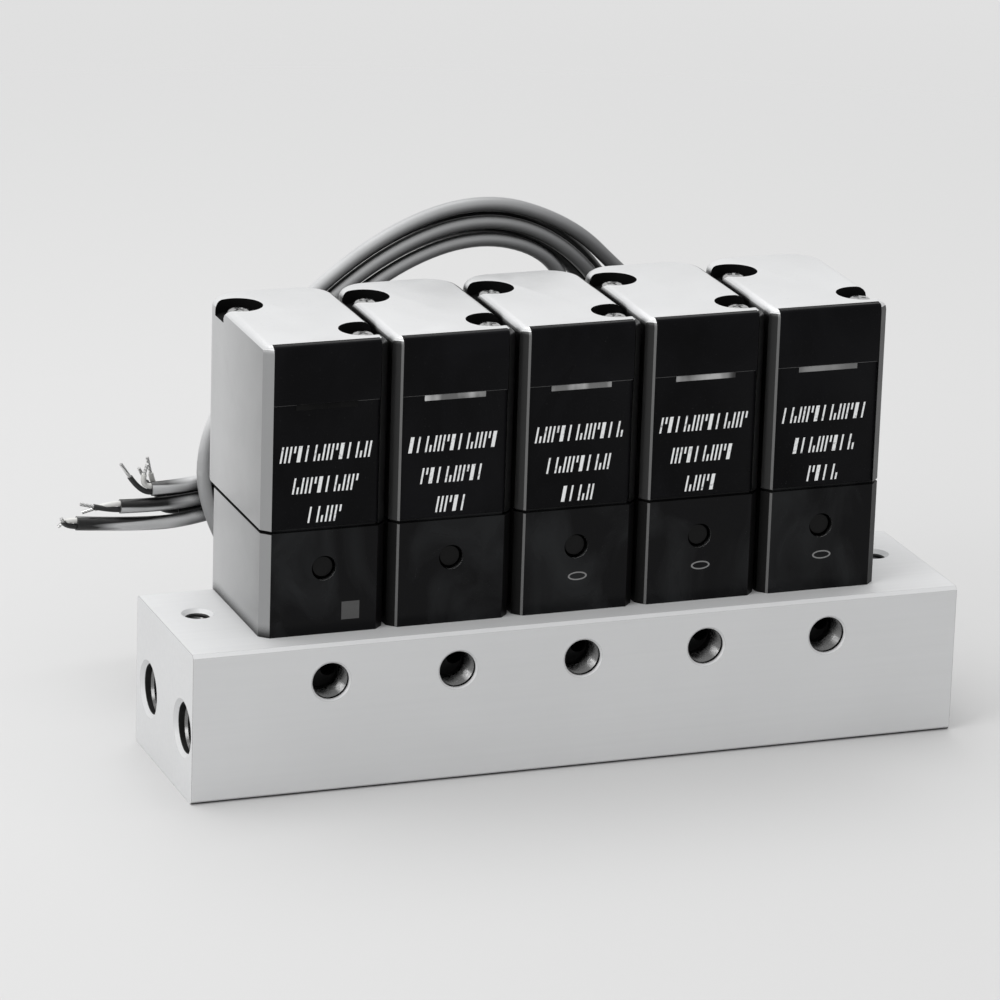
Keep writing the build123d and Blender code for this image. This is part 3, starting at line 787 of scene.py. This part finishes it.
def make_cover(station):
    """A hollow cover with a rounded rim, screw pockets and the grommet's bore."""
    middle = station_x(station)
    levels = [(0.0, cover_low.z), (0.0, cover_high.z - cover_rim)]
    for angle in (22.5, 45, 67.5, 90):
        turn = math.radians(angle)
        levels.append((cover_rim * (1 - math.cos(turn)), cover_high.z - cover_rim * (1 - math.sin(turn))))
    rings = [[(middle + x, y, z) for x, y in cover_plan(inset)] for inset, z in levels]
    name = f"cover_{station}"
    cover = root_piece(name, shape_mesh(name, rings), cover_finish)
    cover.data.materials.append(pocket_black)
    floor = cover_high.z - pocket_depth
    spare = pocket_depth
    for x, y in screw_places:
        cut_rings(cover, [disc(middle + x, y, z, pocket_radius, pocket_sides)
                          for z in (floor, cover_high.z + spare)])
        cut_rings(cover, [disc(middle + x, y, z, screw_hole_radius, round_sides)
                          for z in (floor - cover_roof, floor + spare)])
    take_away(cover, make_hollow(middle))
    grommet_low, grommet_high = station_box("grommet", station)
    bore_radius = (grommet_high[0] - grommet_low[0]) / 2 + grommet_hole_gap
    grommet_bore = disc(middle, grommet_z, 0, bore_radius, round_sides)
    cut_rings(cover, [[(x, y, z) for x, z, _ in grommet_bore]
                      for y in (cover_high.y - 2 * cover_wall, valve_front + cover_depth + spare)])
    for face in cover.data.polygons:
        place = face.center
        near = any(math.hypot(place.x - middle - x, place.y - y) < pocket_radius + 0.02 * MM
                   for x, y in screw_places)
        sunk = floor - 0.1 * MM < place.z < cover_high.z - 0.2 * MM
        face.material_index = 1 if near and sunk else 0
    soften(cover)
    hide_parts(f"solenoid_cover_{station}")


def make_panel(station):
    """The black front panel with its step, and its indicator window."""
    middle = station_x(station)
    half = valve_half - corner_chamfer - panel_gap
    foot, top = cover_low.z + panel_foot_gap, cover_high.z - panel_gap
    step = top - panel_step_drop
    front, back = valve_front, valve_front + corner_chamfer - panel_gap
    outline = [(front + panel_step, foot), (front + panel_step, step), (front, step),
               (front, top - panel_bevel), (front + panel_bevel, top), (back, top), (back, foot)]
    rings = [[(middle + x, y, z) for y, z in outline] for x in (-half, half)]
    name = f"panel_{station}"
    panel = root_piece(name, shape_mesh(name, rings), front_finish)
    round_edges(panel, panel_edge)
    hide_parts(f"front_plate_{station}")
    width, thick, height = window_size
    low = Vector((middle - width / 2, front + panel_step - thick, step - height))
    corners = [(0, 0), (width, 0), (width, height), (0, height)]
    rings = [[(low.x + x, low.y + y, low.z + z) for x, z in corners] for y in (0, thick)]
    name = f"window_{station}"
    glass = lamp_window(station, *window_greys[station])
    window = root_piece(name, shape_mesh(name, rings), glass)
    round_edges(window, window_edge)


# Rows of slanting printed strokes: how far below the cover's top, overall width, and stroke count.
mark_rows = [(25.1 * MM, 21.5 * MM, 11), (32.5 * MM, 15.5 * MM, 8), (39.4 * MM, 8.0 * MM, 4)]
mark_height = 3.7 * MM
mark_slant = 0.6 * MM
mark_stroke = 0.42 * MM
mark_lift = 0.02 * MM
short_stroke = 0.42          # shares of the full height and pitch
raised_stroke = 0.58
second_stroke = 0.5

square_size = 4.2 * MM
square_x = 4.3 * MM          # right of the valve's middle
square_rise = 3.0 * MM       # above the bar
oval_x = 0.5 * MM
oval_z = 43.6 * MM
oval_outer = (2.3 * MM, 1.0 * MM)
oval_inner = (1.9 * MM, 0.7 * MM)


def stroke(mesh, x, y, z, width, height, slant):
    """Adds one flat printed stroke."""
    corners = [(x, y, z), (x + width, y, z), (x + width + slant, y, z + height), (x + slant, y, z + height)]
    front = [mesh.verts.new(corner) for corner in corners]
    back = [mesh.verts.new((cx, cy + mark_lift, cz)) for cx, cy, cz in corners]
    mesh.faces.new(front)
    mesh.faces.new(list(reversed(back)))
    for i in range(4):
        j = (i + 1) % 4
        mesh.faces.new((front[j], front[i], back[i], back[j]))


def finish_flat(mesh, name, material):
    root_piece(name, mesh_data(mesh, name), material)


def make_marks(station):
    """Three rows of plain upright strokes, long, short and broad: a pattern, with no lettering."""
    middle = station_x(station)
    y = valve_front + panel_step - mark_lift
    mesh = bmesh.new()
    for row, (drop, width, count) in enumerate(mark_rows):
        pitch = width / count
        foot = cover_high.z - drop - mark_height / 2
        for i in range(count):
            x = middle - width / 2 + i * pitch
            kind = (3 * i + 2 * row + station) % 5
            stroke(mesh, x, y, foot, mark_stroke * (2 if kind == 2 else 1), mark_height, mark_slant)
            if kind in (1, 3, 4):
                share = 1.0 if kind == 1 else short_stroke
                rise = mark_height * raised_stroke if kind == 4 else 0
                x += pitch * second_stroke + mark_slant * rise / mark_height
                stroke(mesh, x, y, foot + rise, mark_stroke, mark_height * share, mark_slant * share)
    finish_flat(mesh, f"marks_{station}", ink)


def make_body_marks(station):
    """A dark grey square on the first lower front, and a small grey oval ring on the last three."""
    if station == 2:
        return
    middle = station_x(station)
    y = valve_front - mark_lift
    mesh = bmesh.new()
    if station == 1:
        stroke(mesh, middle + square_x, y, bar_high.z + square_rise, square_size, square_size, 0)
        finish_flat(mesh, "dark_grey_square", dark_grey_patch)
    else:
        rings = []
        for half_width, half_height in (oval_outer, oval_inner):
            for level in (y, y + mark_lift):
                turns = [2 * math.pi * i / round_sides for i in range(round_sides)]
                rings.append([mesh.verts.new((middle + oval_x + half_width * math.cos(t), level,
                                              oval_z + half_height * math.sin(t))) for t in turns])
        outer_front, outer_back, inner_front, inner_back = rings
        loop = [outer_front, outer_back, inner_back, inner_front, outer_front]
        for one, other in zip(loop, loop[1:]):
            for i in range(round_sides):
                j = (i + 1) % round_sides
                mesh.faces.new((one[i], one[j], other[j], other[i]))
        finish_flat(mesh, f"oval_mark_{station}", grey_oval)


# ---- screws with cross recesses, and threads ----
head_radius = 2.8 * MM
head_height = 2.0 * MM
recess_depth = 1.1 * MM
recess_arm = 1.6 * MM
recess_width = 0.62 * MM
recess_taper = 0.45          # the recess's foot, as a share of its mouth
cut_spare = 0.2 * MM         # a cutter's reach above the head
head_foot = 0.94             # shares of the head's radius: at the seat,
head_crown = 0.55            # and at the top of its rounding
head_bevel = 0.15 * MM
head_side = 0.85 * MM
head_tip_radius = 0.2 * MM
head_sides = 40
# A screw's turn in radians: at station 0, more for each station, and more for each metre from its middle.
turn_first, turn_station, turn_offset = 0.5, 0.9, 70

# Threads: bore radius, pitch, ridge depth and number of turns.
work_thread = (4.3 * MM, 0.907 * MM, 0.42 * MM, 8)
end_thread = (5.75 * MM, 1.337 * MM, 0.6 * MM, 7)
fixing_thread = (2.5 * MM, 1.0 * MM, 0.4 * MM, 7)
thread_sides = 36
ridge_half = 0.45            # half a ridge's foot, as a share of the pitch
work_port_z = 26.2 * MM
work_port_mouth = 0.5 * MM
end_port_z = 15.6 * MM
end_port_mouth = 1.1 * MM
end_port_lines = {"supply": 7.6 * MM, "exhaust": 33.9 * MM}    # behind the bar's front
fixing_hole_x = 9.3 * MM     # from the bar's end
fixing_hole_y = 27.2 * MM    # behind the bar's front
fixing_hole_mouth = 1.2 * MM


def make_screw(name, x, y, turn):
    """A domed screw head with a cross recess."""
    seat = cover_high.z - pocket_depth
    profile = [(head_radius * head_foot, 0), (head_radius, head_bevel), (head_radius, head_side)]
    for angle in (20, 40, 60, 80):
        bend = math.radians(angle)
        profile.append((head_radius * (head_crown + (1 - head_crown) * math.cos(bend)),
                        head_side + (head_height - head_side) * math.sin(bend)))
    profile.append((head_tip_radius, head_height))
    rings = [disc(x, y, seat + z, r, head_sides) for r, z in profile]
    screw = root_piece(name, shape_mesh(name, rings), bright_steel)
    for i in range(2):
        angle = turn + i * math.pi / 2
        along = Vector((math.cos(angle), math.sin(angle), 0))
        across = Vector((-along.y, along.x, 0))
        rings = []
        for level, share in ((head_height - recess_depth, recess_taper), (head_height + cut_spare, 1.0)):
            corners = [(-share, -1), (share, -1), (share, 1), (-share, 1)]
            rings.append([tuple(Vector((x, y, seat + level)) + along * a * recess_arm
                                + across * b * recess_width / 2) for a, b in corners])
        cut_rings(screw, rings)
    soften(screw, 30)
    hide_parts("valve_screws")


def make_thread(name, mouth, inward, sizes):
    """A thread's ridge winding into a bore from its mouth; inward is the way into the bore."""
    radius, pitch, depth, turns = sizes
    inward = Vector(inward)
    first = inward.orthogonal().normalized()
    second = inward.cross(first)
    mesh = bmesh.new()
    rows = []
    last = turns * thread_sides
    for i in range(last + 1):
        turn = 2 * math.pi * i / thread_sides
        out = first * math.cos(turn) + second * math.sin(turn)
        along = Vector(mouth) + inward * (pitch * (i / thread_sides + 0.5))
        taper = min(1.0, i / thread_sides, (last - i) / thread_sides)
        crest = along + out * (radius - depth * taper)
        row = [along + out * radius - inward * pitch * ridge_half, crest,
               along + out * radius + inward * pitch * ridge_half]
        rows.append([mesh.verts.new(point) for point in row])
    for before, after in zip(rows, rows[1:]):
        for i in range(3):
            j = (i + 1) % 3
            mesh.faces.new((before[i], before[j], after[j], after[i]))
    mesh.faces.new(rows[0])
    mesh.faces.new(list(reversed(rows[-1])))
    soften(root_piece(name, mesh_data(mesh, name), shaded_thread_metal), 40)


def make_threads():
    for station in stations:
        mouth = (station_x(station), bar_low.y + work_port_mouth, work_port_z)
        make_thread(f"work_thread_{station}", mouth, (0, 1, 0), work_thread)
    for side, name in ((-1, "left"), (1, "right")):
        for line, y in end_port_lines.items():
            mouth = (side * (bar_high.x - end_port_mouth), bar_low.y + y, end_port_z)
            make_thread(f"{line}_thread_{name}", mouth, (-side, 0, 0), end_thread)
        mouth = (side * (bar_high.x - fixing_hole_x), bar_low.y + fixing_hole_y,
                 bar_high.z - fixing_hole_mouth)
        make_thread(f"fixing_thread_{name}", mouth, (0, 0, -1), fixing_thread)


for number in stations:
    make_cover(number)
    make_panel(number)
    make_marks(number)
    make_body_marks(number)
    for place, (offset, depth) in zip(("front", "rear"), screw_places):
        twist = turn_first + turn_station * number + offset * turn_offset
        make_screw(f"screw_{number}_{place}", station_x(number) + offset, depth, twist)
make_threads()


# ---- floor and light ----
floor_fade_start = 0.30
floor_fade_end = 0.85
floor_reach = 6.0
sky_strength = 0.68
backdrop_grey = (0.76, 0.76, 0.76, 1)
light_target = (0, 0, 0.05)


def floor_paper():
    """Pale paper that fades into the background away from the object."""
    nodes = Nodes("floor_paper", roughness=0.9)
    nodes.shader.inputs["Base Color"].default_value = (0.58, 0.58, 0.58, 1.0)
    nodes.shader.inputs["Specular IOR Level"].default_value = 0.1
    away = nodes.add("ShaderNodeVectorMath", operation="LENGTH")
    nodes.join(nodes.place, away.inputs[0])
    mix = nodes.add("ShaderNodeMixShader")
    nodes.join(nodes.span(away.outputs["Value"], 0, 1, floor_fade_start, floor_fade_end), mix.inputs["Fac"])
    nodes.join(nodes.shader.outputs["BSDF"], mix.inputs[1])
    nodes.join(nodes.add("ShaderNodeBsdfTransparent").outputs["BSDF"], mix.inputs[2])
    nodes.join(mix.outputs["Shader"], nodes.tree.nodes["Material Output"].inputs["Surface"])
    return nodes.material


def make_floor():
    mesh = bpy.data.meshes.new("floor")
    corners = [(x * floor_reach, y * floor_reach, 0) for x, y in ((-1, -1), (1, -1), (1, 1), (-1, 1))]
    mesh.from_pydata(corners, [], [(0, 1, 2, 3)])
    floor = link("floor", mesh)
    floor.data.materials.append(floor_paper())


def make_world():
    """An even sky that lights the object, and a pale grey that the camera sees instead."""
    world = bpy.data.worlds.new("studio")
    bpy.context.scene.world = world
    world.use_nodes = True
    tree = world.node_tree
    background = tree.nodes["Background"]
    background.inputs["Color"].default_value = (1, 1, 1, 1)
    background.inputs["Strength"].default_value = sky_strength
    plain = tree.nodes.new("ShaderNodeBackground")
    plain.inputs["Color"].default_value = backdrop_grey
    plain.inputs["Strength"].default_value = 1.0
    path = tree.nodes.new("ShaderNodeLightPath")
    mix = tree.nodes.new("ShaderNodeMixShader")
    tree.links.new(path.outputs["Is Camera Ray"], mix.inputs["Fac"])
    tree.links.new(background.outputs["Background"], mix.inputs[1])
    tree.links.new(plain.outputs["Background"], mix.inputs[2])
    tree.links.new(mix.outputs["Shader"], tree.nodes["World Output"].inputs["Surface"])


def make_light(name, place, size, power):
    data = bpy.data.lights.new(name, "AREA")
    data.shape = "RECTANGLE"
    data.size, data.size_y = size
    data.energy = power
    lamp = link(name, data)
    lamp.location = place
    lamp.rotation_euler = (Vector(light_target) - Vector(place)).to_track_quat("-Z", "Y").to_euler()


make_floor()
make_world()
make_light("top_light", (-0.1, 0.25, 1.1), (1.2, 0.9), 9.6)
make_light("left_light", (-1.2, -0.5, 0.7), (0.7, 0.9), 6)
bpy.context.scene.view_settings.view_transform = "Standard"
